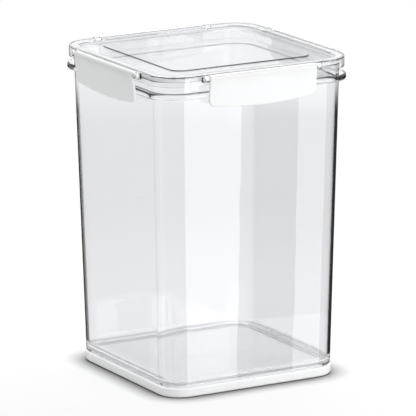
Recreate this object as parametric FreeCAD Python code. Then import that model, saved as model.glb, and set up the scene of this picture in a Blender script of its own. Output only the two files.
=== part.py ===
"""Square food canister: clear container on a white foot, clear lid with a seal and four hinged latches.

Millimetres, +Z up. The origin is at the centre of the foot's underside, on the surface it stands on.
The front is the -Y side.
"""
import FreeCAD, Part
import os
from math import cos, radians, sin, sqrt, tan
from FreeCAD import Vector

# Container, measured outside. It widens a little from the foot to the rim, so that it leaves its mould.
body_bottom_width = 152.8
body_bottom_corner = 19.0
body_top_width = 164.4
body_top_corner = 20.5
body_height = 245.0
body_wall = 2.4
floor_thickness = 3.0
floor_fillet = 6.0
body_edge = 2.0
rim_round = 0.8

# Flange round the neck, which the latches hook under.
flange_reach = 5.2
flange_thickness = 4.6
flange_below_rim = 8.9
flange_round = 1.6

# White foot, hollow below: an outer wall, a groove, a rib round the recess that a lid's panel stacks into.
foot_height = 7.2
foot_overhang = 0.6
foot_wall = 4.5
foot_rib = 2.5
foot_web = 2.4
foot_round = 2.0
foot_top_round = 0.7
locator_height = 1.6
locator_inset = 6.0
locator_gap = 0.2
stack_gap = 1.5

# Lid: a plate with a skirt outside the neck and a plug wall inside it. On top, the border inside its rim is
# lower, for the foot of a canister that stands on it, and a thin panel is raised in the middle.
lid_plate = 2.4
lid_edge = 0.5
lip_width = 7.0
border_drop = 0.95
skirt_wall = 2.2
skirt_depth = 8.4
neck_gap = 1.6
plug_wall = 2.0
plug_depth = 6.0
plug_gap = 0.8
panel_inset = 23.9
panel_corner = 10.3
panel_rise = 0.7
panel_round = 0.25

# Silicone seal in the channel between the lid's skirt and plug wall.
seal_thickness = 2.4
seal_side_gap = 0.15
seal_gap = 0.3
seal_round = 0.7

# Latches, each on a rod through two ears of the lid. The plate leans in towards its lower edge, in degrees.
latch_length = 95.0
latch_wall = 2.5
latch_lean = 6.0
latch_drop = 0.0
latch_corner = 5.0
latch_bow = 3.4
latch_edge = 0.9
latch_cove = 1.5
barrel_radius = 2.9
barrel_gap = 0.4
hook_length = 77.0
hook_reach = 3.0
hook_thickness = 3.1
hook_gap = 0.35
finger_lip = 5.8
ear_width = 4.0
ear_gap = 0.4
ear_relief = 0.2
rod_radius = 1.5
rod_inset = 0.3
rod_seat_gap = 0.02
rod_running_gap = 0.08

# Heights that follow from the sizes above.
rim_z = foot_height + body_height
floor_z = foot_height + floor_thickness
flange_top = rim_z - flange_below_rim
flange_bottom = flange_top - flange_thickness
lid_under = rim_z + seal_gap + seal_thickness
lid_top = lid_under + lid_plate
border_top = lid_top - border_drop
panel_top = border_top + panel_rise

# Half widths and corner radii that follow from the neck: each is the neck's outline moved in or out.
neck_half = body_top_width / 2
flange_half = neck_half + flange_reach
lid_half = neck_half + neck_gap + skirt_wall
lid_corner = body_top_corner + neck_gap + skirt_wall
skirt_bore = lid_half - skirt_wall
plug_half = neck_half - body_wall - plug_gap
plug_corner = body_top_corner - body_wall - plug_gap
panel_half = lid_half - panel_inset

# The latches' hinge line, and what hangs from it, seen on the front side as a distance out from the centre.
hinge_out = lid_half + barrel_gap + barrel_radius
hinge_z = lid_top - latch_drop - barrel_radius
latch_outer = hinge_out + barrel_radius
lean = radians(latch_lean)
hook_top = flange_bottom - hook_gap
hook_root = hook_top - hook_thickness
latch_bottom = hook_root - finger_lip
ear_start = latch_length / 2 + ear_gap
ear_end = ear_start + ear_width

# Turn about Z that takes the front side to each side.
SIDES = {"front": 0, "right": 90, "back": 180, "left": 270}


def rounded_square(half, corner, z):
    """Closed outline of a square with round corners, centred on the Z axis."""
    flat = half - corner
    mid = flat + corner * 0.5 ** 0.5
    outline = []
    for turn in range(4):
        side = Part.LineSegment(Vector(-flat, -half, z), Vector(flat, -half, z)).toShape()
        bend = Part.Arc(Vector(flat, -half, z), Vector(mid, -mid, z), Vector(half, -flat, z)).toShape()
        for edge in (side, bend):
            edge.rotate(Vector(0, 0, 0), Vector(0, 0, 1), 90 * turn)
            outline.append(edge)
    return Part.Wire(outline)


def slab(half, corner, low, high):
    """Straight-sided block on a rounded square."""
    return Part.Face(rounded_square(half, corner, low)).extrude(Vector(0, 0, high - low))


def ring(half, corner, wall, low, high):
    """Straight-sided wall round a rounded square, of one thickness all the way."""
    return slab(half, corner, low, high).cut(slab(half - wall, corner - wall, low, high))


def tapered_block(inset, low, high):
    """Block with the container's taper, moved in from its outside by inset."""
    outlines = []
    for z in (low, high):
        share = (z - foot_height) / body_height
        half = (body_bottom_width + share * (body_top_width - body_bottom_width)) / 2
        corner = body_bottom_corner + share * (body_top_corner - body_bottom_corner)
        outlines.append(rounded_square(half - inset, corner - inset, z))
    return Part.makeLoft(outlines, True, True)


def round_off(shape, radius, z):
    """Round every edge that lies flat at height z."""
    level = []
    for edge in shape.Edges:
        box = edge.BoundBox
        if abs(box.ZMin - z) < 1e-4 and abs(box.ZMax - z) < 1e-4:
            level.append(edge)
    return shape.makeFillet(radius, level)


def container_shell():
    """Clear container: tapered walls, floor, flange and the neck above it."""
    outside = round_off(tapered_block(0, foot_height, rim_z), body_edge, foot_height)
    flange = slab(flange_half, body_top_corner + flange_reach, flange_bottom, flange_top)
    lip = min(flange_round, flange_thickness * 0.45, flange_reach * 0.45)
    for z in (flange_bottom, flange_top):
        flange = round_off(flange, lip, z)
    hollow = round_off(tapered_block(body_wall, floor_z, rim_z), floor_fillet, floor_z)
    locator_half = body_bottom_width / 2 - locator_inset
    locator_corner = body_bottom_corner - locator_inset
    recess = slab(locator_half, locator_corner, foot_height, foot_height + locator_height)
    shell = outside.fuse(flange).removeSplitter().cut(hollow).cut(recess)
    return round_off(shell, min(rim_round, body_wall * 0.4), rim_z)


def foot():
    """White foot: walls to stand on, a web, and the raised middle that locates it under the floor."""
    half = body_bottom_width / 2 + foot_overhang
    corner = body_bottom_corner + foot_overhang
    block = round_off(slab(half, corner, 0, foot_height), foot_round, 0)
    block = round_off(block, foot_top_round, foot_height)
    locator_half = body_bottom_width / 2 - locator_inset - locator_gap
    locator_corner = body_bottom_corner - locator_inset - locator_gap
    locator = slab(locator_half, locator_corner, foot_height, foot_height + locator_height)
    recess_half = panel_half + stack_gap
    recess_corner = panel_corner + stack_gap
    recess = slab(recess_half, recess_corner, 0, foot_height + locator_height - foot_web)
    groove = slab(half - foot_wall, corner - foot_wall, 0, foot_height - foot_web)
    rib_block = slab(recess_half + foot_rib, recess_corner + foot_rib, 0, foot_height - foot_web)
    return block.fuse(locator).removeSplitter().cut(groove.cut(rib_block)).cut(recess)


def ear():
    """One lug of the lid at the front, with a round nose about the hinge line."""
    nose_radius = barrel_radius - ear_relief
    root = lid_half - skirt_wall / 2
    lug = Part.makeBox(ear_width, hinge_out - root, 2 * nose_radius,
                       Vector(ear_start, -hinge_out, hinge_z - nose_radius))
    nose = Part.makeCylinder(nose_radius, ear_width, Vector(ear_start, -hinge_out, hinge_z), Vector(1, 0, 0))
    return lug.fuse(nose).removeSplitter()


def lid_shell():
    """Clear lid in one moulding: plate, skirt, plug wall, raised panel and eight ears."""
    cap = round_off(slab(lid_half, lid_corner, lid_top - skirt_depth, lid_top), lid_edge, lid_top)
    inside = slab(skirt_bore, lid_corner - skirt_wall, lid_top - skirt_depth, lid_under)
    border = slab(lid_half - lip_width, lid_corner - lip_width, border_top, lid_top)
    panel = round_off(slab(panel_half, panel_corner, lid_under, panel_top), panel_round, panel_top)
    plug = ring(plug_half, plug_corner, plug_wall, lid_top - plug_depth, lid_under)
    lid = cap.cut([inside, border]).fuse([panel, plug]).removeSplitter()
    mirrored = ear().mirror(Vector(0, 0, 0), Vector(1, 0, 0))
    for turn in SIDES.values():
        for lug in (ear(), mirrored):
            lid = lid.fuse(lug.rotated(Vector(0, 0, 0), Vector(0, 0, 1), turn))
        lid = lid.cut(hinge_bar(rod_radius + rod_seat_gap, ear_end, turn))
    return lid.removeSplitter()


def lid_seal():
    """Silicone ring that fills the lid's channel and rests on the container's rim."""
    outer = skirt_bore - seal_side_gap
    corner = lid_corner - skirt_wall - seal_side_gap
    width = outer - plug_half - seal_side_gap
    low = lid_under - seal_thickness
    band = ring(outer, corner, width, low, lid_under)
    return round_off(band, min(seal_round, width * 0.4), low)


def hinge_bar(radius, reach, turn):
    """Bar along one side's hinge line, reaching the same distance either way."""
    bar = Part.makeCylinder(radius, 2 * reach, Vector(-reach, -hinge_out, hinge_z), Vector(1, 0, 0))
    return bar.rotated(Vector(0, 0, 0), Vector(0, 0, 1), turn)


def latch_face(z):
    """Distance from the canister's middle to the outside of the latch's plate at height z."""
    return hinge_out + barrel_radius / cos(lean) + (z - hinge_z) * tan(lean)


def latch_back(z):
    """Distance from the canister's middle to the inside of the latch's plate at height z."""
    return latch_face(z) - latch_wall / cos(lean)


def latch_section():
    """Section of the latch across the hinge: barrel, cove and plate in one smooth outline, as a face."""
    def at(out, up):
        return Vector(-latch_length / 2, -hinge_out - out, hinge_z + up)

    def bisector(centre, radius, first, second):
        across = first[0] + second[0] - 2 * centre[0]
        along = first[1] + second[1] - 2 * centre[1]
        scale = radius / sqrt(across ** 2 + along ** 2)
        return at(centre[0] + across * scale, centre[1] + along * scale)

    cove_depth = barrel_radius - latch_wall - latch_cove
    cove_drop = sqrt((barrel_radius + latch_cove) ** 2 - cove_depth ** 2)
    cove = (cove_depth * cos(lean) - cove_drop * sin(lean), -cove_depth * sin(lean) - cove_drop * cos(lean))
    on_barrel = barrel_radius / (barrel_radius + latch_cove)
    join = (cove[0] * on_barrel, cove[1] * on_barrel)
    cove_end = (cove[0] + latch_cove * cos(lean), cove[1] - latch_cove * sin(lean))
    back = (-barrel_radius, 0)
    front = (barrel_radius * cos(lean), -barrel_radius * sin(lean))
    low = latch_bottom - hinge_z
    low_front = (latch_face(latch_bottom) - hinge_out, low)
    low_back = (latch_back(latch_bottom) - hinge_out, low)
    under = bisector((0, 0), barrel_radius, back, join)
    cove_mid = bisector(cove, latch_cove, join, cove_end)
    edges = [Part.LineSegment(at(*low_front), at(*front)).toShape(),
             Part.Arc(at(*front), at(0, barrel_radius), at(*back)).toShape(),
             Part.Arc(at(*back), under, at(*join)).toShape(),
             Part.Arc(at(*join), cove_mid, at(*cove_end)).toShape(),
             Part.LineSegment(at(*cove_end), at(*low_back)).toShape(),
             Part.LineSegment(at(*low_back), at(*low_front)).toShape()]
    return Part.Face(Part.Wire(edges))


def latch_front_view():
    """Outline of the latch from the front, as a block: round lower corners and a bowed lower edge."""
    end = latch_length / 2
    low_end = latch_bottom + latch_bow
    above = hinge_z + 2 * barrel_radius
    top_left = Vector(-end, -latch_outer, above)
    low_left = Vector(-end, -latch_outer, low_end)
    low_right = Vector(end, -latch_outer, low_end)
    top_right = Vector(end, -latch_outer, above)
    edges = [Part.LineSegment(top_left, low_left).toShape(),
             Part.Arc(low_left, Vector(0, -latch_outer, latch_bottom), low_right).toShape(),
             Part.LineSegment(low_right, top_right).toShape(),
             Part.LineSegment(top_right, top_left).toShape()]
    block = Part.Face(Part.Wire(edges)).extrude(Vector(0, latch_outer, 0))
    low_corners = []
    for edge in block.Edges:
        box = edge.BoundBox
        if box.YLength > latch_outer / 2 and abs(box.ZMin - low_end) < 1e-4 and box.ZLength < 1e-4:
            low_corners.append(edge)
    return block.makeFillet(latch_corner, low_corners)


def latch(turn):
    """White latch: barrel on the rod, plate down the side, hook under the flange and a lip to pull."""
    flap = latch_section().extrude(Vector(latch_length, 0, 0)).common(latch_front_view()).removeSplitter()
    full_width = [face for face in flap.Faces if face.BoundBox.XLength > latch_length - latch_corner]
    long_edges = [edge for edge in flap.Edges if edge.BoundBox.XLength > latch_length - latch_corner]
    rim = []
    for face in full_width:
        for edge in face.Edges:
            if not any(edge.isSame(seam) for seam in long_edges):
                rim.append(edge)
    flap = flap.makeFillet(latch_edge, rim)
    left = -hook_length / 2
    tip = -(flange_half - hook_reach)
    root = -(latch_back(hook_root) + latch_wall / 2)
    profile = [Vector(left, root, hook_top), Vector(left, tip, hook_top),
               Vector(left, tip, hook_top - hook_thickness / 2),
               Vector(left, -latch_back(hook_root), hook_root), Vector(left, root, hook_root)]
    hook = Part.Face(Part.makePolygon(profile + profile[:1])).extrude(Vector(hook_length, 0, 0))
    bore = hinge_bar(rod_radius + rod_running_gap, latch_length / 2, 0)
    return flap.fuse(hook).removeSplitter().cut(bore).rotated(Vector(0, 0, 0), Vector(0, 0, 1), turn)


def main():
    pieces = {"container_shell": container_shell(), "base_foot": foot(),
              "lid_shell": lid_shell(), "lid_seal": lid_seal()}
    for side, turn in SIDES.items():
        pieces["latch_" + side] = latch(turn)
        pieces["hinge_rod_" + side] = hinge_bar(rod_radius, ear_end - rod_inset, turn)
    os.makedirs("parts", exist_ok=True)
    for name, piece in pieces.items():
        solid = piece.Solids[0] if len(piece.Solids) == 1 else piece
        solid.exportStep("parts/" + name + ".step")
        print(name, "valid", solid.isValid(), "solids", len(piece.Solids), "volume", round(solid.Volume, 1))


main()
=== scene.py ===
import math

import bpy
from mathutils import Matrix, Vector


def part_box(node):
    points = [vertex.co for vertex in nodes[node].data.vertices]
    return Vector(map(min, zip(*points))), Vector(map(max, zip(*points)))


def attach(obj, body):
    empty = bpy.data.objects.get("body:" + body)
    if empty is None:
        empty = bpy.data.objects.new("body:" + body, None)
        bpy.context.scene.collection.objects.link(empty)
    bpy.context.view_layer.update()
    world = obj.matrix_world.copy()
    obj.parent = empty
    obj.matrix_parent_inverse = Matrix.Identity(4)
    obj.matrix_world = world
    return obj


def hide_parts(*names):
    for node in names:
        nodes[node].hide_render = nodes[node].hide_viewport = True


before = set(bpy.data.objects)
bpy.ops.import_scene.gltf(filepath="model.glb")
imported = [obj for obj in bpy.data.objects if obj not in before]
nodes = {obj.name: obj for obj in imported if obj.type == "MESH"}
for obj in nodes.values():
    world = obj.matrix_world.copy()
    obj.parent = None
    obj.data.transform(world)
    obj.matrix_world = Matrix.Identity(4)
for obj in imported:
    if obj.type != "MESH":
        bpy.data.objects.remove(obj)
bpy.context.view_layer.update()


# Container: a tall square tub with tapered walls, injection moulded in one clear, hard plastic.
# Its skin is polished by the mould, and very slightly wavy where the melt cooled against the steel.
class Term:
    """A shader socket in a Python expression. Each operator adds one Math node to its tree."""

    def __init__(self, finish, socket):
        self.finish = finish
        self.socket = socket

    def math(self, operation, first, second):
        return self.finish.node("ShaderNodeMath", {"operation": operation}, {0: first, 1: second})

    def __add__(self, other):
        return self.math("ADD", self, other)

    def __radd__(self, other):
        return self.math("ADD", other, self)

    def __sub__(self, other):
        return self.math("SUBTRACT", self, other)

    def __rsub__(self, other):
        return self.math("SUBTRACT", other, self)

    def __mul__(self, other):
        return self.math("MULTIPLY", self, other)

    def __rmul__(self, other):
        return self.math("MULTIPLY", other, self)

    def __gt__(self, other):
        return self.math("GREATER_THAN", self, other)

    def __or__(self, other):
        return self.math("MAXIMUM", self, other)


class Finish:
    """The node tree of one material or of the world."""

    def __init__(self, owner):
        owner.use_nodes = True
        self.owner = owner
        self.tree = owner.node_tree
        self.tree.nodes.clear()

    def node(self, kind, settings=None, sockets=None, output=0):
        """Add a node: its settings first, then the values or links of its sockets."""
        made = self.tree.nodes.new(kind)
        for name, value in (settings or {}).items():
            setattr(made, name, value)
        for name, value in (sockets or {}).items():
            if isinstance(value, Term):
                self.tree.links.new(value.socket, made.inputs[name])
            else:
                made.inputs[name].default_value = value
        return Term(self, made.outputs[output] if made.outputs else None)

    def noise(self, per_metre, detail, stretch=(1, 1, 1)):
        """Soft random spots, so many to the metre, drawn out along an axis where its stretch is small."""
        here = self.node("ShaderNodeTexCoord", output="Object")
        drawn = self.node("ShaderNodeMapping", {}, {"Vector": here, "Scale": stretch})
        return self.node("ShaderNodeTexNoise", {}, {"Vector": drawn, "Scale": per_metre, "Detail": detail})

    def relief(self, height, strength, distance):
        """A surface normal that follows a height, for a relief of so many metres."""
        return self.node("ShaderNodeBump", {}, {"Height": height, "Strength": strength, "Distance": distance})

    def between(self, share, first, second):
        """A colour between two colours."""
        return self.node("ShaderNodeMix", {"data_type": "RGBA"},
                         {0: share, 6: (*first, 1), 7: (*second, 1)}, output=2)

    def ray(self, kind):
        """What the ray that meets the surface is, or what it has done so far."""
        return self.node("ShaderNodeLightPath", output=kind)


def clear_plastic(name, tint):
    """Clear hard plastic: it bends what is seen through it, and the lamps shine straight through."""
    finish = Finish(bpy.data.materials.new(name))
    waves = finish.noise(per_metre=26.0, detail=1.0)
    wiped = finish.noise(per_metre=60.0, detail=3.0)
    glass = finish.node("ShaderNodeBsdfPrincipled", {}, {
        "Base Color": (*tint, 1), "Roughness": wiped * 0.012, "IOR": 1.49,
        "Transmission Weight": 1.0, "Normal": finish.relief(waves, strength=0.05, distance=0.0004)})
    clear = finish.node("ShaderNodeBsdfTransparent", {}, {"Color": (0.985, 0.987, 0.989, 1)})
    shade = finish.node("ShaderNodeBsdfTransparent", {}, {"Color": (0.955, 0.958, 0.962, 1)})
    soft = finish.node("ShaderNodeMixShader", {}, {0: finish.ray("Is Diffuse Ray"), 1: glass, 2: clear})
    whole = finish.node("ShaderNodeMixShader", {}, {0: finish.ray("Is Shadow Ray"), 1: soft, 2: shade})
    depth = finish.node("ShaderNodeVolumeAbsorption", {},
                        {"Color": (0.988, 0.991, 0.995, 1), "Density": 12.0})
    finish.node("ShaderNodeOutputMaterial", {}, {"Surface": whole, "Volume": depth})
    return finish.owner


container_tint = (0.942, 0.946, 0.96)
nodes["container_shell"].material_slots[0].material = clear_plastic("clear_container", container_tint)


# Foot: an opaque white moulding that the container's floor sits on, with walls and a rib underneath.
# The mould gives it a fine satin grain, and the white clouds a little along the melt's flow.
def white_plastic(name):
    """White plastic with a fine mould grain, which lets a little light through its thin walls."""
    finish = Finish(bpy.data.materials.new(name))
    grain = finish.noise(per_metre=2600.0, detail=2.0)
    flow = finish.noise(per_metre=30.0, detail=2.0)
    skin = finish.node("ShaderNodeBsdfPrincipled", {}, {
        "Base Color": finish.between(flow, (0.834, 0.839, 0.844), (0.86, 0.865, 0.87)),
        "Roughness": 0.30 + grain * 0.14, "IOR": 1.49,
        "Normal": finish.relief(grain, strength=0.25, distance=0.00003),
        "Subsurface Weight": 0.6, "Subsurface Radius": (1, 1, 1), "Subsurface Scale": 0.003})
    finish.node("ShaderNodeOutputMaterial", {}, {"Surface": skin})
    return finish.owner


nodes["base_foot"].material_slots[0].material = white_plastic("white_foot")

# Lid: one clear moulding, with a raised panel on top, a skirt outside the container's neck, a plug wall
# inside it and eight ears that carry the latches. It is moulded in the container's plastic.
lid_tint = (0.958, 0.962, 0.974)
nodes["lid_shell"].material_slots[0].material = clear_plastic("clear_lid", lid_tint)


# Seal: a ring of milky silicone, moulded in one piece and pressed into the channel under the lid.
# Its flat back fills the channel, and the narrower bead below it is what the container's rim squeezes.
def milky_silicone(name):
    """Soft milky rubber with a faintly dusty skin."""
    finish = Finish(bpy.data.materials.new(name))
    cloud = finish.noise(per_metre=60.0, detail=3.0)
    dust = finish.noise(per_metre=3000.0, detail=2.0)
    skin = finish.node("ShaderNodeBsdfPrincipled", {}, {
        "Base Color": finish.between(cloud, (0.90, 0.905, 0.91), (0.94, 0.945, 0.95)),
        "Roughness": 0.36 + dust * 0.14, "IOR": 1.41, "Transmission Weight": 0.15,
        "Normal": finish.relief(dust, strength=0.2, distance=0.00003)})
    finish.node("ShaderNodeOutputMaterial", {}, {"Surface": skin})
    return finish.owner


seal_low, seal_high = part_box("lid_seal")
seal_width = 0.0045
seal_corner = 0.02195
seal_corner_steps = 18
seal_back = 0.0011
bead_step = 0.0009
bead_drop = (seal_high[2] - seal_low[2] - seal_back) / 2
bead_taper = 0.0004
seal_edge = 0.00022
seal_edge_steps = 3
bpy.ops.object.select_all(action="DESELECT")
bpy.ops.mesh.primitive_plane_add(size=seal_high[0] - seal_low[0], location=(0, 0, seal_high[2]))
seal = bpy.context.active_object
seal.name = "seal_ring"
bpy.ops.object.transform_apply(location=True, rotation=True, scale=True)
bpy.ops.object.mode_set(mode="EDIT")
bpy.ops.mesh.select_all(action="SELECT")
bpy.ops.mesh.bevel(offset=seal_corner, offset_type="OFFSET", segments=seal_corner_steps, affect="VERTICES")
bpy.ops.mesh.select_all(action="SELECT")
bpy.ops.mesh.inset(thickness=seal_width)
bpy.ops.mesh.delete(type="FACE")
bpy.ops.mesh.select_all(action="SELECT")
bpy.ops.mesh.extrude_region_move(TRANSFORM_OT_translate={"value": (0, 0, -seal_back)})
bpy.ops.mesh.inset(thickness=bead_step)
bpy.ops.mesh.extrude_region_move(TRANSFORM_OT_translate={"value": (0, 0, -bead_drop)})
bpy.ops.mesh.inset(thickness=bead_taper)
bpy.ops.transform.translate(value=(0, 0, -bead_drop))
bpy.ops.mesh.select_all(action="SELECT")
bpy.ops.mesh.normals_make_consistent(inside=False)
bpy.ops.object.mode_set(mode="OBJECT")
rounding = seal.modifiers.new("rounding", "BEVEL")
rounding.width = seal_edge
rounding.segments = seal_edge_steps
bpy.ops.object.modifier_apply(modifier="rounding")
bpy.ops.object.shade_smooth_by_angle(angle=math.radians(40))
seal.data.materials.append(milky_silicone("seal_silicone"))
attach(seal, "lid")
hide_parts("lid_seal")

# Latches: four alike white flaps, moulded in the foot's plastic. Each turns on a rod through the lid's
# ears, and the hook on its back snaps under the container's flange.
latch_white = white_plastic("white_latch")
for side in ("front", "right", "back", "left"):
    nodes["latch_" + side].material_slots[0].material = latch_white


# Hinge rods: white plastic pins, extruded, cut to length and pushed through the ears and the latch's
# barrel. The extruder's die leaves fine lines along them.
def extruded_plastic(name, lines):
    """White plastic with fine lines along its length."""
    finish = Finish(bpy.data.materials.new(name))
    drawn = finish.noise(per_metre=1.0, detail=3.0, stretch=lines)
    skin = finish.node("ShaderNodeBsdfPrincipled", {}, {
        "Base Color": finish.between(drawn, (0.80, 0.805, 0.81), (0.85, 0.855, 0.86)),
        "Roughness": 0.34 + drawn * 0.14, "IOR": 1.49,
        "Normal": finish.relief(drawn, strength=0.15, distance=0.00002)})
    finish.node("ShaderNodeOutputMaterial", {}, {"Surface": skin})
    return finish.owner


along = 60.0
across = 5000.0
rod_in_x = extruded_plastic("rod_in_x", (along, across, across))
rod_in_y = extruded_plastic("rod_in_y", (across, along, across))
for side, rod in (("front", rod_in_x), ("right", rod_in_y), ("back", rod_in_x), ("left", rod_in_y)):
    nodes["hinge_rod_" + side].material_slots[0].material = rod

# Floor: plain white paper. Close to the canister it takes the light and a soft shadow, and a tight
# painted shadow on top: an ambient-occlusion darkening of its colour and glow, for the camera and for
# what the clear plastic shows. Further off it is plain white to whatever looks at it. Light that has
# turned round inside the clear plastic meets a dark floor up to about a metre away, which draws the
# plastic's edges.
floor_size = 14.0
floor_gap = 0.0002
paper_white = (0.8, 0.8, 0.8)
paper_glow = 0.49
painted_shadow_grey = (0.1, 0.1, 0.1)
painted_shadow_reach = 0.019
painted_shadow_depth = 1.6
wide_shadow = 0.5
white_from = 0.22
white_at = 0.60
room_grey = 0.03
far_grey = 0.7
far_from = 0.95
far_at = 1.10
bpy.ops.object.select_all(action="DESELECT")
bpy.ops.mesh.primitive_plane_add(size=floor_size, location=(0, 0, -floor_gap))
floor = bpy.context.active_object
floor.name = "floor"
floor.visible_glossy = False
paper = Finish(bpy.data.materials.new("floor_paper"))
seen = paper.ray("Is Camera Ray") | paper.ray("Is Transmission Ray")
turned = paper.ray("Glossy Depth") > 0.5
spread = paper.node("ShaderNodeVectorMath", {"operation": "LENGTH"},
                    {0: paper.node("ShaderNodeTexCoord", output="Object")}, output="Value")
white_share = paper.node("ShaderNodeMapRange", {"interpolation_type": "SMOOTHSTEP"},
                         {"Value": spread, "From Min": white_from, "From Max": white_at})
far_share = paper.node("ShaderNodeMapRange", {"interpolation_type": "SMOOTHSTEP"},
                       {"Value": spread, "From Min": far_from, "From Max": far_at})
# Painted shadow: the paper's colour and glow go darker where the canister is close, by ambient occlusion, for
# the camera and for what the clear plastic shows.
open_air = paper.node("ShaderNodeAmbientOcclusion", {}, {"Distance": painted_shadow_reach}, output="AO")
outside_painted_shadow = (1 - (1 - open_air) * painted_shadow_depth) | (1 - seen)
painted_shade_share = outside_painted_shadow * (1 - seen * (1 - wide_shadow))
matt = paper.node("ShaderNodeBsdfDiffuse", {}, {"Color": paper.between(painted_shade_share, painted_shadow_grey, paper_white)})
lift = paper.node("ShaderNodeEmission", {}, {"Color": (1, 1, 1, 1), "Strength": seen * outside_painted_shadow * paper_glow})
near = paper.node("ShaderNodeAddShader", {}, {0: matt, 1: lift})
white = paper.node("ShaderNodeEmission", {}, {"Color": (1, 1, 1, 1), "Strength": 1.0})
sweep = paper.node("ShaderNodeMixShader", {}, {0: seen * white_share, 1: near, 2: white})
dark = paper.node("ShaderNodeEmission", {},
                  {"Color": (1, 1, 1, 1), "Strength": room_grey + far_share * (far_grey - room_grey)})
whole_floor = paper.node("ShaderNodeMixShader", {}, {0: turned, 1: sweep, 2: dark})
paper.node("ShaderNodeOutputMaterial", {}, {"Surface": whole_floor})
floor.data.materials.append(paper.owner)

# Room: even soft light from all round, and white wherever the camera or the clear plastic looks. What
# surfaces mirror low and to the front is darker, and dark cards low behind draw the walls' outer edges.
# Light that has turned round inside the plastic meets a dark room.
ambient = 0.63
low_mirror = 0.40
backdrop_turn = math.radians(-29.4)
card_middle = 0.10
card_half = 0.70
world = bpy.data.worlds.new("studio")
bpy.context.scene.world = world
room = Finish(world)
clear_ray = room.ray("Is Transmission Ray")
glossy_ray = room.ray("Is Glossy Ray")
heading = room.node("ShaderNodeTexCoord", output="Generated")
above = room.node("ShaderNodeSeparateXYZ", {}, {0: heading}, output="Z") > 0.0
behind = room.node("ShaderNodeSeparateXYZ", {}, {0: heading}, output="Y") > 0.0
bright = above | behind
shown = room.ray("Is Camera Ray") | clear_ray | glossy_ray * bright
lit = ambient + shown * (1.0 - ambient) + glossy_ray * (1 - bright) * (low_mirror - ambient)
aside = room.node("ShaderNodeVectorMath", {"operation": "DOT_PRODUCT"},
                  {0: heading, 1: (math.cos(backdrop_turn), math.sin(backdrop_turn), 0)}, output="Value")
card = room.node("ShaderNodeMath", {"operation": "COMPARE"}, {0: aside, 1: card_middle, 2: card_half})
in_card = glossy_ray * (1 - clear_ray) * card * behind * (1 - above)
turned_round = clear_ray * (room.ray("Glossy Depth") > above + 0.5)
hidden = turned_round | in_card
level = lit * (1 - hidden) + hidden * room_grey
backdrop = room.node("ShaderNodeBackground", {}, {"Color": (1, 1, 1, 1), "Strength": level})
room.node("ShaderNodeOutputWorld", {}, {"Surface": backdrop})


# Lamps: two tall softboxes side by side, which light the front and show in its wall, and a wide one
# above and behind, which throws a soft shadow forwards.
def softbox(name, place, aim, width, height, watts):
    """Rectangular soft lamp at a place, turned towards a point."""
    lamp = bpy.data.lights.new(name, "AREA")
    lamp.shape = "RECTANGLE"
    lamp.size = width
    lamp.size_y = height
    lamp.energy = watts
    stand = bpy.data.objects.new(name, lamp)
    bpy.context.scene.collection.objects.link(stand)
    stand.location = place
    stand.rotation_euler = (Vector(aim) - Vector(place)).to_track_quat("-Z", "Y").to_euler()


softbox("front_softbox", place=(0.36, -1.2, 0.30), aim=(0.36, 0, 0.30), width=0.55, height=1.5, watts=8.8)
softbox("side_softbox", place=(0.83, -1.2, 0.30), aim=(0.83, 0, 0.30), width=0.25, height=1.5, watts=3.4)
softbox("back_softbox", place=(0.36, 0.64, 1.2), aim=(0, 0, 0.1), width=1.2, height=0.8, watts=12.0)

# Camera: a long lens a little above the canister and to the left of its front, turned very slightly.
# Light passes many clear walls on its way to it, so the paths are allowed many bounces.
view_azimuth = math.radians(-29.38)
view_elevation = math.radians(13.37)
view_roll = math.radians(-0.33)
view_distance = 3.70
view_height = 0.12888
view_side = 0.00108
lens_mm = 403.8
clear_bounces = 32
back = Vector((math.sin(view_azimuth) * math.cos(view_elevation),
               -math.cos(view_azimuth) * math.cos(view_elevation), math.sin(view_elevation)))
right = Vector((math.cos(view_azimuth), math.sin(view_azimuth), 0))
eye = Vector((0, 0, view_height)) + right * view_side + back * view_distance
camera_data = bpy.data.cameras.new("camera")
camera_data.sensor_width = 36.0
camera_data.lens = lens_mm
camera_data.clip_end = 50.0
camera = bpy.data.objects.new("camera", camera_data)
bpy.context.scene.collection.objects.link(camera)
camera.matrix_world = (Matrix.Translation(eye) @ back.to_track_quat("Z", "Y").to_matrix().to_4x4()
                       @ Matrix.Rotation(view_roll, 4, "Z"))
bpy.context.scene.camera = camera
bpy.context.scene.cycles.max_bounces = clear_bounces
bpy.context.scene.cycles.transmission_bounces = clear_bounces
bpy.context.scene.view_settings.view_transform = "Standard"
